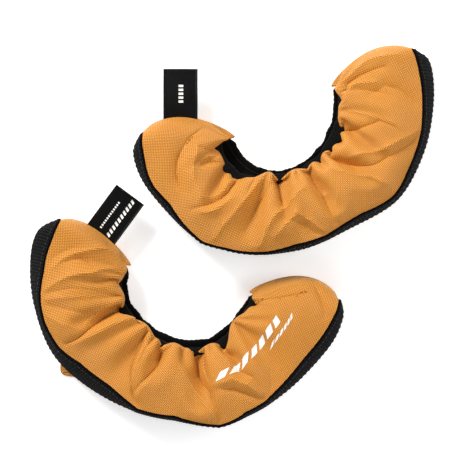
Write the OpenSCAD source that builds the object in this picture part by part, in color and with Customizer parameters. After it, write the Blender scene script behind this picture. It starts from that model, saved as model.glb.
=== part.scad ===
// Pair of soft skate blade guards, lying on their sides as they rest off the skate.
// Each guard is a sewn pouch: two cloth side panels and a lining above a strip of
// sole webbing, with an elastic in a casing round the mouth that takes the blade.
// The elastic curls the guard into a crescent. Pulled over a blade it opens out
// again, so each guard is cut into heel, mid and toe spans that flex about the sole.

/* [Sole] */
// Width of the sole webbing
web_w = 26; // [23:1:30]
// Thickness of the sole webbing
web_t = 1.6; // [1.2:0.1:2]
// Outward bow of the webbing across its width
web_bow = 1; // [0:0.2:1.6]
// Thickness of the absorbent pad above the webbing
pad_t = 3; // [2:0.5:4]

/* [Shell] */
// Thickness of the outer cloth
shell_t = 0.8; // [0.5:0.1:1]
// Rise of the front panel between the sole and the mouth
crown = 4; // [2:0.5:6]
// Sag of the back panel between the sole and the mouth
belly = 4; // [3:0.5:6]
// Thickness of the lining
lining_t = 1.2; // [0.8:0.1:1.4]

/* [Mouth] */
// Height of the front mouth edge above the surface
mouth_top = 18; // [17:0.5:20]
// Height of the back mouth edge above the surface
mouth_low = 5.5; // [5:0.5:7]
// Depth of the elastic's casing past the cloth
collar_w = 3.6; // [3:0.2:4]
// Thickness of the elastic's casing
collar_t = 2.6; // [2.4:0.1:2.8]
// Wall of the elastic's casing
collar_wall = 0.5; // [0.4:0.1:0.6]

/* [Label] */
// Width of the label ribbon
label_w = 20.6; // [15:0.2:24]
// Length of the label loop outside the seam
label_len = 29; // [20:1:35]
// Thickness of the label ribbon
label_t = 0.45; // [0.3:0.05:0.5]
// Widest gap inside the label loop
label_gap = 2.2; // [1:0.2:3]

/* [Print] */
// Thickness of the printed mark
print_t = 0.15; // [0.1:0.05:0.2]

/* [Hidden] */
SIDES = ["left", "right"];
SPANS = ["heel", "mid", "toe"];
SEWN = ["shell_front", "shell_back", "lining", "sole_web", "sole_pad",
        "collar", "elastic", "sole_stitch"];

// Each guard's plan, from the heel tip round to the toe tip, as stations that match
// between the two lines: the back edge of the webbing, and the inner edge of the mouth.
sole_line = [
    [[-102, 8.5], [-116, 1.5], [-120.5, -17], [-117.5, -44], [-104.5, -75], [-74.5, -98.5],
     [-38, -110], [-0.5, -111], [30, -95.5], [56.5, -69], [65.5, -50.5], [63.5, -39]],
    [[-53, 60.5], [-58, 48.5], [-50, 29], [-26.5, 4.5], [4, -7.5], [38, -8.5],
     [69, 4], [98.5, 21.5], [114.5, 49.5], [120.5, 80.5], [118, 104], [107, 110]]];
mouth_line = [
    [[-61, -18.5], [-62, -23.5], [-62.5, -30], [-61, -39.5], [-55, -49], [-44.5, -58],
     [-29, -63.5], [-14.5, -62.5], [-2.5, -54.5], [5, -45], [9, -39], [11, -34.5]],
    [[1.5, 58.5], [3, 53.5], [7, 47], [14.5, 41], [24.5, 38.5], [36, 40],
     [45.5, 46], [53.5, 54], [59, 65.5], [61, 76], [61, 84.5], [60, 89]]];
// How far the webbing's front edge leans in over its back edge, at each station.
sole_lean = [
    [0, 9.5, 8.5, 5, 6, 6.5, 1, 0.5, 5, 7, 5, 0],
    [0, 4.5, 3, 1, -1, 2, 3, 3, 5, 7, 7, 0]];
// How far the front mouth edge lies outside the back one, at each station.
mouth_lean = [
    [0, 3, 3, 3, 2.5, 3.5, 4, 4, 3, 2.5, 2, 0],
    [0, 9, 10, 8, 3, 2, 2.5, 2, 2, 2.5, 2, 0]];
// How far the closed ends round out past a straight end seam, at the heel and the toe.
end_round = [[6.5, 11.5], [10.5, 9.5]];
// The stations of the two flex lines.
flex_at = [[4, 7], [3, 7]];

pair_at = [-0.1, 0.7];         // puts the middle of the pair over the origin
last = len(sole_line[0]) - 1;  // number of the toe tip's station
span_cut = 0.005;              // clearance at a flex line, in stations
steps = 3;                     // rings of points between two stations
rows = 6;                      // rows of points from the sole to the mouth
seam_z = 12;                   // height of the end seams
seam_gap = 1.2;                // gap in the end seams, which the label's tab fills
back_seam_z = 1.8;             // height of the webbing's back edge
end_fade = 3;                  // stations over which the rounding of an end fades out
layer_gap = 0.2;               // clearance between two layers of cloth
lining_end = 0.9;              // stations from the tips where the lining begins
collar_end = 0.3;              // stations from the tips where the casing begins
pad_end = 0.9;                 // stations from the tips where the pad begins
stitch_end = 0.6;              // stations from the tips where the stitches begin
pad_margin = 0.15;             // share of the webbing's width left bare beside the pad
label_at = [0.5, 0.4];         // place of each label along the heel's end seam
label_turn = [-3, 2];          // turn of each label in plan
label_root = 0.3;              // clearance of the loop and of its tab from the seam line
tab_len = 4;                   // length of the label's tab inside the seam
mark_slant = 0.16;             // stations by which a bar's upper edge runs ahead
mark_fill = 0.7;               // share of the bars' pitch that a bar fills
// The mark's rows of bars, as [first station, last, first v, last v, height in v, bars].
mark_rows = [[6.95, 9.2, 0.565, 0.545, 0.09, 7], [8.4, 9.4, 0.44, 0.44, 0.035, 6]];
stitch_share = 0.65;           // share of the stitches' pitch that a stitch fills
stitch_pitch = 3.2;            // distance from one stitch to the next
stitch_d = 0.5;                // thickness of the thread
stitch_in = 0.12;              // share of the webbing's width outside a row of stitches

// Plan curves through the stations, as Catmull-Rom splines.
function at(list, x) =
    let (n = len(list) - 1, i = min(floor(x), n - 1), t = x - i,
         a = list[max(i - 1, 0)], b = list[i], c = list[i + 1], d = list[min(i + 2, n)])
    b + t / 2 * (c - a + t * (2 * a - 5 * b + 4 * c - d + t * (3 * (b - c) + d - a)));
function mix(a, b, t) = a + (b - a) * t;
function sole(g, x) = at(sole_line[g], x);
function depth(g, x) = norm(at(mouth_line[g], x) - sole(g, x));
function inward(g, x) = (at(mouth_line[g], x) - sole(g, x)) / depth(g, x);
function lean(g, x) = at(sole_lean[g], x);
// The cloth stops short of the mouth's inner edge, where the casing is.
function reach(g, x) = depth(g, x) - collar_w * min(1, x / collar_end, (last - x) / collar_end);

// The pouch closes to a seam at both tips, quickly at the sole and slowly at the mouth.
function sole_swell(x) = let (a = min(x, last - x, 1)) sqrt(1 - (1 - a) ^ 2);
function mouth_swell(x) = max(0, sin(180 * x / last)) ^ 0.6;
function swell(x, v) = mix(sole_swell(x), mouth_swell(x), v);

// A cross-section is drawn in its own upright plane, as [distance from the sole, height].
// v runs from 0 at the sole to 1 at the mouth, and w from the back edge to the front one.
function front_seam_z(g, x) = back_seam_z + sqrt(web_w ^ 2 - lean(g, x) ^ 2);
function front_point(g, x, v) =
    [mix(lean(g, x), reach(g, x) - at(mouth_lean[g], x), v),
     seam_z + seam_gap / 2 + swell(x, v)
        * (mix(front_seam_z(g, x), mouth_top, v) + crown * sin(180 * v) - seam_z)];
function back_point(g, x, v) =
    [mix(0, reach(g, x), v),
     max(shell_t, seam_z - seam_gap / 2 + swell(x, v)
        * (mix(back_seam_z, mouth_low, v) - belly * sin(180 * v) - seam_z))];
function web_point(g, x, w) =
    mix(back_point(g, x, 0), front_point(g, x, 0), w)
        - [web_bow * sole_swell(x) * sin(180 * w), 0];

// The cloth's line round a section, always from the front mouth edge towards the back.
function front_cloth(g, x) = [for (i = [rows:-1:0]) front_point(g, x, i / rows)];
function back_cloth(g, x) = [for (i = [0:rows]) back_point(g, x, i / rows)];
function web_cloth(g, x, from = 0, to = 1) =
    [for (w = [1, 0.75, 0.5, 0.25, 0]) web_point(g, x, mix(from, to, w))];
function whole_cloth(g, x) =
    concat([for (i = [rows:-1:1]) front_point(g, x, i / rows)],
           web_cloth(g, x),
           [for (i = [1:rows]) back_point(g, x, i / rows)]);

// A section's line moved outwards by t, with mitred corners.
function out_of(p) = [p[1], -p[0]] / norm(p);
function moved(line, t) =
    let (n = len(line) - 1)
    [for (i = [0:n])
        let (a = out_of(line[max(i, 1)] - line[max(i, 1) - 1]),
             b = out_of(line[min(i, n - 1) + 1] - line[min(i, n - 1)]))
        line[i] + t * (a + b) / (1 + a * b)];

// A section's points in the pair's frame, with the ends rounded out in plan.
function turned(p, quarter) = quarter * [-p[1], p[0]];
function rounding(g, end, v) =
    turned(inward(g, end ? last : 0), end ? -1 : 1)
        * end_round[g][end] * sin(180 * v ^ 0.8) ^ 0.75;
function placed(g, x, p) =
    let (v = max(0, min(1, p[0] / reach(g, x))),
         heel = (1 - min(x / end_fade, 1)) ^ 2,
         toe = (1 - min((last - x) / end_fade, 1)) ^ 2,
         plan = pair_at + sole(g, x) + inward(g, x) * p[0]
            + heel * rounding(g, 0, v) + toe * rounding(g, 1, v))
    [plan[0], plan[1], p[1]];

// The stations of one span's rings, cut back at its flex lines. All the layers share the
// same rings, and a layer that stops short of the tips leaves out the rings within `end`.
function span_from(g, s, end = 0) = s == 0 ? end : flex_at[g][s - 1] + span_cut;
function span_to(g, s, end = 0) = s == 2 ? last - end : flex_at[g][s] - span_cut;
function stations(g, s, end = 0) =
    let (a = span_from(g, s), b = span_to(g, s), n = ceil((b - a) * steps))
    [for (i = [0:n]) let (x = mix(a, b, i / n)) if (x >= end && x <= last - end) x];

// A closed solid between two grids of points, outer and inner, both [ring][point].
// A tube's grids close on themselves. Any other plate gets a wall along each side.
module plate(outer, inner, tube = false) {
    m = len(outer);
    n = len(outer[0]);
    function o(i, j) = i * n + j % n;
    function q(i, j) = m * n + i * n + j % n;
    across = tube ? n : n - 1;
    skins = [for (i = [0:m - 2], j = [0:across - 1]) each [
        [o(i, j), o(i + 1, j), o(i + 1, j + 1)], [o(i, j), o(i + 1, j + 1), o(i, j + 1)],
        [q(i, j), q(i + 1, j + 1), q(i + 1, j)], [q(i, j), q(i, j + 1), q(i + 1, j + 1)]]];
    ends = [for (j = [0:across - 1]) each [
        [o(0, j), o(0, j + 1), q(0, j + 1)], [o(0, j), q(0, j + 1), q(0, j)],
        [o(m - 1, j), q(m - 1, j + 1), o(m - 1, j + 1)],
        [o(m - 1, j), q(m - 1, j), q(m - 1, j + 1)]]];
    walls = tube ? [] : [for (i = [0:m - 2]) each [
        [o(i, 0), q(i + 1, 0), o(i + 1, 0)], [o(i, 0), q(i, 0), q(i + 1, 0)],
        [o(i, n - 1), o(i + 1, n - 1), q(i + 1, n - 1)],
        [o(i, n - 1), q(i + 1, n - 1), q(i, n - 1)]]];
    polyhedron([for (r = outer) each r, for (r = inner) each r], concat(skins, ends, walls));
}

module shell_front(g, s) {
    xs = stations(g, s);
    color("#E9A040") plate(
        [for (x = xs) [for (p = moved(front_cloth(g, x), shell_t)) placed(g, x, p)]],
        [for (x = xs) [for (p = front_cloth(g, x)) placed(g, x, p)]]);
}

module shell_back(g, s) {
    xs = stations(g, s);
    color("#E9A040") plate(
        [for (x = xs) [for (p = moved(back_cloth(g, x), shell_t)) placed(g, x, p)]],
        [for (x = xs) [for (p = back_cloth(g, x)) placed(g, x, p)]]);
}

module lining(g, s) {
    xs = stations(g, s, lining_end);
    color("#17171A") plate(
        [for (x = xs) [for (p = moved(whole_cloth(g, x), -layer_gap)) placed(g, x, p)]],
        [for (x = xs)
            [for (p = moved(whole_cloth(g, x), -layer_gap - lining_t)) placed(g, x, p)]]);
}

module sole_web(g, s) {
    xs = stations(g, s);
    color("#1B1B1D") plate(
        [for (x = xs) [for (p = moved(web_cloth(g, x), web_t)) placed(g, x, p)]],
        [for (x = xs) [for (p = web_cloth(g, x)) placed(g, x, p)]]);
}

module sole_pad(g, s) {
    xs = stations(g, s, pad_end);
    base = -lining_t - 2 * layer_gap;
    color("#2A2A2E") plate(
        [for (x = xs) [for (p = moved(web_cloth(g, x, pad_margin, 1 - pad_margin), base))
            placed(g, x, p)]],
        [for (x = xs) [for (p = moved(web_cloth(g, x, pad_margin, 1 - pad_margin),
            base - pad_t)) placed(g, x, p)]]);
}

// The four corners of the casing past one mouth edge, each side moved in by a wall.
// The casing lies along the cloth, as much of it inside the cloth's line as outside.
function casing(g, x, front, wall) =
    let (a = front ? front_point(g, x, 1) : back_point(g, x, 1),
         b = front ? front_point(g, x, 1 - 1 / rows) : back_point(g, x, 1 - 1 / rows),
         past = (a - b) / norm(a - b),
         up = front ? [-past[1], past[0]] : [past[1], -past[0]],
         near = layer_gap + wall, far = layer_gap + collar_w - wall,
         half = collar_t / 2 - wall)
    [for (c = [[near, half], [near, -half], [far, -half], [far, half]])
        placed(g, x, a + past * c[0] + up * c[1])];
function ordered(ring, front) = front ? ring : [for (i = [3:-1:0]) ring[i]];

module collar(g, s) {
    xs = stations(g, s, collar_end);
    color("#111113") for (front = [true, false]) plate(
        [for (x = xs) ordered(casing(g, x, front, 0), front)],
        [for (x = xs) ordered(casing(g, x, front, collar_wall), front)], tube = true);
}

module elastic(g, s) {
    xs = stations(g, s, collar_end);
    wall = collar_wall + layer_gap / 2;
    color("#D8D4CA") for (front = [true, false]) {
        rings = [for (x = xs) ordered(casing(g, x, front, wall), front)];
        plate([for (r = rings) [r[0], r[1]]], [for (r = rings) [r[3], r[2]]]);
    }
}

// Stitches along both edges of the webbing, a stitch's length apart on its outer face.
module sole_stitch(g, s) {
    a = span_from(g, s, stitch_end);
    b = span_to(g, s, stitch_end);
    count = floor(norm(sole(g, b) - sole(g, a)) / stitch_pitch);
    color("#2E2E33") for (w = [stitch_in, 1 - stitch_in], i = [1:count - 1]) {
        x = mix(a, b, i / count);
        ring = moved([for (k = [0.04, 0, -0.04]) web_point(g, x, w + k)],
            web_t + layer_gap + stitch_d / 2);
        here = placed(g, x, ring[1]);
        ahead = placed(g, x + (b - a) / count / 2, ring[1])
            - placed(g, x - (b - a) / count / 2, ring[1]);
        translate(here) rotate([0, 0, atan2(ahead[1], ahead[0])])
            cube([norm(ahead) * stitch_share, stitch_d * 0.8, stitch_d * 0.8], center = true);
    }
}

// The label's root on the heel's end seam, with its direction in plan.
module at_label(g) {
    root = placed(g, 0, [label_at[g] * reach(g, 0), seam_z]);
    out = turned(inward(g, 0), 1);
    translate(root) rotate([0, 0, atan2(out[1], out[0]) + label_turn[g]]) children();
}

// One side of the folded ribbon: flat at the seam, and parted towards the fold.
function fold_line(t) = let (a = t / label_len) label_gap / 2 * sin(180 * a) ^ 1.5 * (1 - a / 2);
module label_loop(g) {
    n = 12;
    ts = [for (i = [0:n]) label_len * i / n];
    outer = concat([for (t = ts) [t, fold_line(t) + label_t]],
                   [for (i = [n:-1:0]) [ts[i], -fold_line(ts[i]) - label_t]]);
    inner = concat([for (t = ts) [min(t, label_len - label_t), fold_line(t) + 0.02]],
                   [for (i = [n:-1:0]) [min(ts[i], label_len - label_t), -fold_line(ts[i]) - 0.02]]);
    color("#101012") at_label(g) translate([label_root, label_w / 2, 0]) rotate([90, 0, 0])
        linear_extrude(label_w) difference() {
            polygon(outer);
            polygon(inner);
        }
}

module label_tab(g) {
    color("#101012") at_label(g)
        translate([-tab_len, -label_w / 2, -label_t])
            cube([tab_len - label_root, label_w, 2 * label_t]);
}

// A plain printed mark: a row of slanted bars, and a shorter row of small ones.
// A point of a bar, on its lower edge (up = 0) or its upper one (up = 1).
function mark_point(g, row, x, up, t) =
    let (xx = x + mark_slant * up,
         v = mix(row[2], row[3], (x - row[0]) / (row[1] - row[0])) + row[4] * up)
    placed(g, xx, moved([front_point(g, xx, v + 0.02), front_point(g, xx, v - 0.02)], t)[0]);
module print(g) {
    under = shell_t + layer_gap;
    color("#F4F2EE") for (row = mark_rows, i = [0:row[5] - 1]) {
        pitch = (row[1] - row[0]) / row[5];
        xs = [for (k = [0:2]) row[0] + pitch * (i + k * mark_fill / 2)];
        plate([for (x = xs) [for (up = [1, 0]) mark_point(g, row, x, up, under + print_t)]],
              [for (x = xs) [for (up = [1, 0]) mark_point(g, row, x, up, under)]]);
    }
}

function name(g, piece, s) = str(SIDES[g], "_", piece, "_", SPANS[s]);
for (g = [0, 1]) {
    for (s = [0:2]) {
        shell_front(g, s);
        shell_back(g, s);
        lining(g, s);
        sole_web(g, s);
        sole_pad(g, s);
        collar(g, s);
        elastic(g, s);
        sole_stitch(g, s);
    }
    label_loop(g);
    label_tab(g);
}
print(0);  // left_print
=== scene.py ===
"""Looks for a pair of soft skate blade guards: gathered cloth pouches with a webbing sole."""
import math

import bpy
import numpy as np
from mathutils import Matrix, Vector, noise


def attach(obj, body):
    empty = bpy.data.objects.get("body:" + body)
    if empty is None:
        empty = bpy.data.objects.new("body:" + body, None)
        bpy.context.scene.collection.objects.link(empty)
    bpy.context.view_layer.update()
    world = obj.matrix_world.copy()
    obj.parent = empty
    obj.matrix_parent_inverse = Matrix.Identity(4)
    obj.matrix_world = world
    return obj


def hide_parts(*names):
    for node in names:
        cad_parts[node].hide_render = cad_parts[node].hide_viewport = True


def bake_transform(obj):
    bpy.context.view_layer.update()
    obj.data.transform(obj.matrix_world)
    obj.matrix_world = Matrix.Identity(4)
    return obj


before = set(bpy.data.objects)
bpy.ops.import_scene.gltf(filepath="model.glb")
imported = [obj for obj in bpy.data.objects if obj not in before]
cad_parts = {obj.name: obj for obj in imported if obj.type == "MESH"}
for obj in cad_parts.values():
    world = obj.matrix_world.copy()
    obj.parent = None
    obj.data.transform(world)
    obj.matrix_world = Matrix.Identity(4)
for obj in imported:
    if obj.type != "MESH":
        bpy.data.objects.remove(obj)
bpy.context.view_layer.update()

MM = 0.001

# ---------------------------------------------------------------- the guards' plan, in mm
# The same stations as the CAD model: the back edge of the webbing, and the mouth's inner edge.
PAIR_AT = (-0.1, 0.7)
SIDES = ("left", "right")
SOLE_LINE = {
    "left": [(-102, 8.5), (-116, 1.5), (-120.5, -17), (-117.5, -44), (-104.5, -75), (-74.5, -98.5),
             (-38, -110), (-0.5, -111), (30, -95.5), (56.5, -69), (65.5, -50.5), (63.5, -39)],
    "right": [(-53, 60.5), (-58, 48.5), (-50, 29), (-26.5, 4.5), (4, -7.5), (38, -8.5),
              (69, 4), (98.5, 21.5), (114.5, 49.5), (120.5, 80.5), (118, 104), (107, 110)]}
MOUTH_LINE = {
    "left": [(-61, -18.5), (-62, -23.5), (-62.5, -30), (-61, -39.5), (-55, -49), (-44.5, -58),
             (-29, -63.5), (-14.5, -62.5), (-2.5, -54.5), (5, -45), (9, -39), (11, -34.5)],
    "right": [(1.5, 58.5), (3, 53.5), (7, 47), (14.5, 41), (24.5, 38.5), (36, 40),
              (45.5, 46), (53.5, 54), (59, 65.5), (61, 76), (61, 84.5), (60, 89)]}
# How far the front seam, and the front panel's edge at the mouth, lie inward of those lines.
SOLE_LEAN = {"left": [0, 9.5, 8.5, 5, 6, 6.5, 1, 0.5, 5, 7, 5, 0],
             "right": [0, 4.5, 3, 1, -1, 2, 3, 3, 5, 7, 7, 0]}
MOUTH_LEAN = {"left": [0, 3, 3, 3, 2.5, 3.5, 4, 4, 3, 2.5, 2, 0],
              "right": [0, 9, 10, 8, 3, 2, 2.5, 2, 2, 2.5, 2, 0]}
# Where folds pull the front seam off its line, as (station, mm towards the mouth).
SEAM_PULLS = {
    "left": ((0, 0), (2.2, 1), (3.3, -0.8), (3.8, 0.4), (4.25, 3.4), (4.9, 1.9), (5.5, -1.6), (6.1, 2.1),
             (6.8, -1.5), (7.3, 1.1), (7.7, -0.8), (8.6, 0.5), (10, -0.5), (11, 0)),
    "right": ((0, 0.4), (1.4, 0.7), (2.1, -0.2), (2.5, 1.4), (3.4, -3.4), (3.8, -1.4), (4.5, -1.1), (5, 0.6),
              (5.6, -1), (6.35, 1.2), (7, -0.1), (7.5, 0.8), (8.4, -0.3), (9.5, 0.7), (10.3, 1.2), (11, 0))}
END_ROUND = {"left": (6.5, 11.5), "right": (10.5, 9.5)}     # how far the heel and toe ends bulge out
LAST = 11                # number of the toe tip's station
SEAM_Z = 12.0            # height of the end seams
SEAM_GAP = 1.2           # gap in the end seams
BACK_SEAM_Z = 1.8        # height of the webbing's back edge
WEB_W, WEB_T, WEB_BOW = 26.0, 1.6, 1.0
CROWN, BELLY = 4.0, 4.0  # rise of the front panel and sag of the back one
BACK_LOWEST = 0.8        # lowest that the smooth back panel lies
MOUTH_TOP, MOUTH_LOW = 18.0, 5.5
COLLAR_W, COLLAR_T, COLLAR_END = 3.6, 2.6, 0.3
END_FADE = 3.0           # stations over which the rounding of an end fades out
FLEX_AT = {"left": (4, 7), "right": (3, 7)}     # stations of the flex lines
FLEX_REACH = 18.0        # how far to each side of a flex line the bend is spread
LABEL_AT, LABEL_TURN = (0.5, 0.4), (-3.0, 2.0)
LABEL_W, LABEL_LEN, LABEL_T, LABEL_GAP, LABEL_ROOT = 20.6, 29.0, 0.45, 2.2, 0.3


def spline(points, x):
    """Catmull-Rom curve through points, at each station in x."""
    p = np.asarray(points, float)
    p = p.reshape(len(p), -1)
    n = len(p) - 1
    i = np.clip(np.floor(x).astype(int), 0, n - 1)
    t = (x - i)[:, None]
    a, b, c, d = p[np.maximum(i - 1, 0)], p[i], p[i + 1], p[np.minimum(i + 2, n)]
    return b + t / 2 * (c - a + t * (2 * a - 5 * b + 4 * c - d + t * (3 * (b - c) + d - a)))


def run_along(line):
    """The distance along a line of points, from its first point."""
    return np.concatenate([[0], np.cumsum(np.linalg.norm(np.diff(line, axis=0), axis=1))])


def unit(v):
    """Vectors of the same directions, 1 long."""
    return v / np.maximum(np.linalg.norm(v, axis=-1, keepdims=True), 1e-9)


def left_of(v):
    """Flat vectors turned a quarter to the left."""
    return np.stack([-v[..., 1], v[..., 0]], -1)


def to_tip(x):
    """How many stations x is from the nearer tip."""
    return np.minimum(x, LAST - x)


class Plan:
    """A guard's plan at an array of stations, and its sections' points."""

    def __init__(self, side, x):
        self.side, self.x = side, np.asarray(x, float)
        self.sole = spline(SOLE_LINE[side], self.x)
        across = spline(MOUTH_LINE[side], self.x) - self.sole
        self.depth = np.linalg.norm(across, axis=1)
        self.inward = across / self.depth[:, None]
        to_end = to_tip(self.x)
        self.reach = self.depth - COLLAR_W * np.minimum(1, to_end / COLLAR_END)
        self.lean = spline(SOLE_LEAN[side], self.x)[:, 0] + np.interp(self.x, *zip(*SEAM_PULLS[side]))
        self.mouth_lean = spline(MOUTH_LEAN[side], self.x)[:, 0]
        near = np.minimum(to_end, 1)
        self.sole_swell = np.sqrt(np.maximum(0, 1 - (1 - near) ** 2))
        self.mouth_swell = np.maximum(0, np.sin(np.pi * self.x / LAST)) ** 0.6

    def swell(self, v):
        """Share of its full height that the section has, which falls to 0 at the tips."""
        return self.sole_swell + (self.mouth_swell - self.sole_swell) * v

    def front(self, v):
        """The front panel's [distance from the sole, height] at v, 0 at the sole to 1 at the mouth."""
        seam_z = BACK_SEAM_Z + np.sqrt(WEB_W ** 2 - self.lean ** 2)
        d = self.lean + (self.reach - self.mouth_lean - self.lean) * v
        rise = seam_z + (MOUTH_TOP - seam_z) * v + CROWN * math.sin(math.pi * v) - SEAM_Z
        return d, SEAM_Z + SEAM_GAP / 2 + self.swell(v) * rise

    def back(self, v):
        """The back panel's [distance from the sole, height] at v."""
        drop = BACK_SEAM_Z + (MOUTH_LOW - BACK_SEAM_Z) * v - BELLY * math.sin(math.pi * v) - SEAM_Z
        return self.reach * v, np.maximum(BACK_LOWEST, SEAM_Z - SEAM_GAP / 2 + self.swell(v) * drop)

    def web(self, w):
        """The webbing's [distance, height] at w, 0 at its back edge to 1 at its front edge."""
        d0, z0 = self.back(0)
        d1, z1 = self.front(0)
        return d0 + (d1 - d0) * w - WEB_BOW * self.sole_swell * math.sin(math.pi * w), z0 + (z1 - z0) * w

    def place(self, d, z):
        """Points of the pair's frame from distances and heights, with the ends rounded out."""
        v = np.clip(d / self.reach, 0, 1)
        bulge = np.sin(np.pi * v ** 0.8) ** 0.75
        shift = np.zeros_like(self.sole)
        for end, turn in ((0, 1), (1, -1)):
            to_end = self.x if end == 0 else LAST - self.x
            fade = (1 - np.minimum(to_end / END_FADE, 1)) ** 2
            out = turn * left_of(Plan.tip_ray(self.side, end))
            shift += out * (fade * END_ROUND[self.side][end] * bulge)[:, None]
        plan = np.asarray(PAIR_AT) + self.sole + self.inward * d[:, None] + shift
        return np.column_stack([plan, z])

    @staticmethod
    def tip_ray(side, end):
        """The direction from sole to mouth at the heel tip, end 0, or at the toe tip, end 1."""
        x = np.array([LAST * end], float)
        return unit(spline(MOUTH_LINE[side], x) - spline(SOLE_LINE[side], x))[0]


# ---------------------------------------------------------------- camera, floor and light
VIEW_MM, MID_HEIGHT = 279.0, 0.012   # width seen at the guards' mid height, and that height in metres
CAMERA_UP, CAMERA_XY = 1.55, (0.0003, 0.0016)
SENSOR = 36
LAMPS = (("key_lamp", (-0.8, 1.05, 0.78), 0.5, 29), ("fill_lamp", (1.1, 0.1, 0.9), 0.9, 8),
         ("front_lamp", (0.2, -1.2, 0.9), 0.9, 5))     # name, place, size and power
AMBIENT = 0.34
FLOOR_GLOW = 0.45        # a light table's even glow, which keeps the floor pale under the shadows


def build_stage():
    """A camera straight above the pair, a pale floor, and large soft lamps outside the view."""
    scene = bpy.context.scene
    scene.view_settings.view_transform = "Standard"
    camera = bpy.data.objects.new("camera", bpy.data.cameras.new("camera"))
    scene.collection.objects.link(camera)
    camera.data.sensor_width = SENSOR
    camera.data.lens = SENSOR * CAMERA_UP / (VIEW_MM * MM)
    camera.location = CAMERA_XY + (CAMERA_UP + MID_HEIGHT,)
    camera.data.clip_end = 20
    scene.camera = camera

    bpy.ops.mesh.primitive_plane_add(size=8, location=(0, 0, -0.0002))
    floor = bpy.context.object
    floor.name = "floor"
    floor.data.materials.append(plain_material("floor", (0.93, 0.93, 0.93), 0.9))
    glow = floor.data.materials[0].node_tree.nodes["Principled BSDF"].inputs
    glow["Emission Color"].default_value = (1, 1, 1, 1)
    glow["Emission Strength"].default_value = FLOOR_GLOW

    world = bpy.data.worlds.new("studio")
    scene.world = world
    world.use_nodes = True
    sky = world.node_tree.nodes["Background"].inputs
    sky["Color"].default_value = (1, 1, 1, 1)
    sky["Strength"].default_value = AMBIENT
    for name, place, size, power in LAMPS:
        lamp = bpy.data.lights.new(name, "AREA")
        lamp.size, lamp.energy = size, power
        ob = bpy.data.objects.new(name, lamp)
        ob.location = place
        ob.rotation_euler = (-Vector(place)).to_track_quat("-Z", "Y").to_euler()
        scene.collection.objects.link(ob)


# ---------------------------------------------------------------- materials
def linear(r, g, b):
    """A screen colour, 0 to 255, as linear light."""
    def one(c):
        c = c / 255
        return c / 12.92 if c <= 0.04045 else ((c + 0.055) / 1.055) ** 2.4
    return one(r), one(g), one(b)


SHEEN_TINT, SHEEN_ROUGHNESS = (1.0, 0.8, 0.45), 0.4
WEAVE = 0.98             # pitch of the outer cloth's threads, in mm
WEAVE_TURN = math.radians(35)        # angle of the threads to the cloth's length
WEAVE_SHADE = 0.4        # painted shade: how much darker the cloth is painted between its threads
RIB = 1.95               # pitch of the webbing's cross ribs


class Nodes:
    """Short calls for building a material's nodes."""

    def __init__(self, name):
        self.material = bpy.data.materials.new(name)
        self.material.use_nodes = True
        self.tree = self.material.node_tree
        self.shader = self.tree.nodes["Principled BSDF"]

    def add(self, kind, **settings):
        node = self.tree.nodes.new(kind)
        for key, setting in settings.items():
            setattr(node, key, setting)
        return node

    def link(self, source, target):
        if isinstance(source, (int, float)):
            target.default_value = source
        elif isinstance(source, tuple):
            target.default_value = source + (1,) * (len(target.default_value) - len(source))
        else:
            self.tree.links.new(source, target)

    def math(self, operation, a, b=0.0, c=0.0):
        node = self.add("ShaderNodeMath", operation=operation)
        for source, target in zip((a, b, c), node.inputs):
            self.link(source, target)
        return node.outputs[0]

    def times(self, a, b):
        return self.math("MULTIPLY", a, b)

    def plus(self, a, b):
        return self.math("ADD", a, b)

    def scaled(self, a, factor, base):
        """a times factor, plus base."""
        return self.math("MULTIPLY_ADD", a, factor, base)

    def cut(self):
        """The place on the cloth as it was cut, in mm."""
        split = self.add("ShaderNodeSeparateXYZ")
        self.link(self.add("ShaderNodeUVMap", uv_map="cut").outputs[0], split.inputs[0])
        return [self.times(split.outputs[k], 1 / MM) for k in (0, 1)]

    def noise(self, pitch, detail=2.0):
        """Noise from 0 to 1, of blobs about pitch mm wide."""
        node = self.add("ShaderNodeTexNoise")
        node.inputs["Scale"].default_value = 1 / (pitch * MM)
        node.inputs["Detail"].default_value = detail
        self.link(self.add("ShaderNodeTexCoord").outputs["Object"], node.inputs["Vector"])
        return node.outputs[0]

    def uneven(self, pitch, spread, base, detail=2.0):
        """Noise from base to base + spread."""
        return self.scaled(self.noise(pitch, detail), spread, base)

    def between(self, factor, a, b):
        """A colour or number that goes from a to b."""
        node = self.add("ShaderNodeMix", data_type="RGBA" if isinstance(a, tuple) else "FLOAT")
        at = 6 if isinstance(a, tuple) else 2
        self.link(factor, node.inputs[0])
        self.link(a, node.inputs[at])
        self.link(b, node.inputs[at + 1])
        return node.outputs[2 if at == 6 else 0]

    def tinted(self, colour, factor):
        """colour times a number."""
        node = self.add("ShaderNodeVectorMath", operation="SCALE")
        self.link(colour, node.inputs[0])
        self.link(factor, node.inputs["Scale"])
        return node.outputs[0]

    def finish(self, colour, roughness, height=None, rise=0.2, sheen=0.0, specular=0.12):
        """Sets the shader. height is 0 to 1, and rise is its full height in mm."""
        s = self.shader.inputs
        self.link(colour, s["Base Color"])
        self.link(roughness, s["Roughness"])
        s["Sheen Weight"].default_value = sheen
        s["Sheen Roughness"].default_value = SHEEN_ROUGHNESS
        s["Sheen Tint"].default_value = SHEEN_TINT + (1,)
        s["Specular IOR Level"].default_value = specular
        if height is not None:
            bump = self.add("ShaderNodeBump")
            bump.inputs["Distance"].default_value = rise * MM
            self.link(height, bump.inputs["Height"])
            self.link(bump.outputs[0], s["Normal"])
        return self.material


def plain_material(name, colour, roughness):
    n = Nodes(name)
    return n.finish(colour, n.between(n.noise(30), roughness - 0.03, roughness + 0.03))


def thread_wave(n, along, pitch):
    """A row of round threads side by side: 1 on each thread's crest and 0 between threads."""
    return n.math("ABSOLUTE", n.math("SINE", n.times(along, math.pi / pitch)))


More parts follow.
